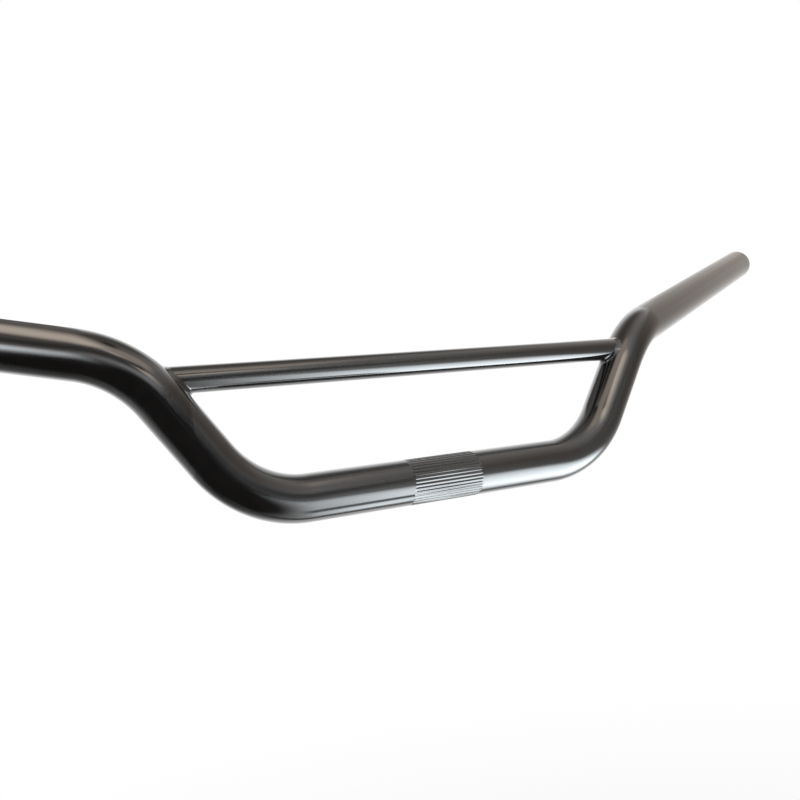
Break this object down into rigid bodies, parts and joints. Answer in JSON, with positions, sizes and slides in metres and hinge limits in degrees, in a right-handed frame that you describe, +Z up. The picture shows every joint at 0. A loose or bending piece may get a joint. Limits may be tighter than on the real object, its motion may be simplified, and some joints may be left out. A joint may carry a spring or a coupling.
{
  "type": "bicycle handlebar",
  "caption": "Low-rise bicycle handlebar bent from one tube, with swept grips, a splined clamp zone and a thin welded crossbar.",
  "frame": {"origin": "centre of the splined clamp zone, on the axis of the straight centre section", "axes": "+X along the centre section to the rider's right, +Y forward, away from the rider, +Z up in the plane of the risers"},
  "size_m": [0.7798, 0.1348, 0.1578],
  "materials": {
    "black_paint": "gloss black"
  },
  "bodies": {
    "root": {"bent_tube": "black_paint", "crossbar": "black_paint", "weld_beads": "black_paint"}
  },
  "joints": []
}
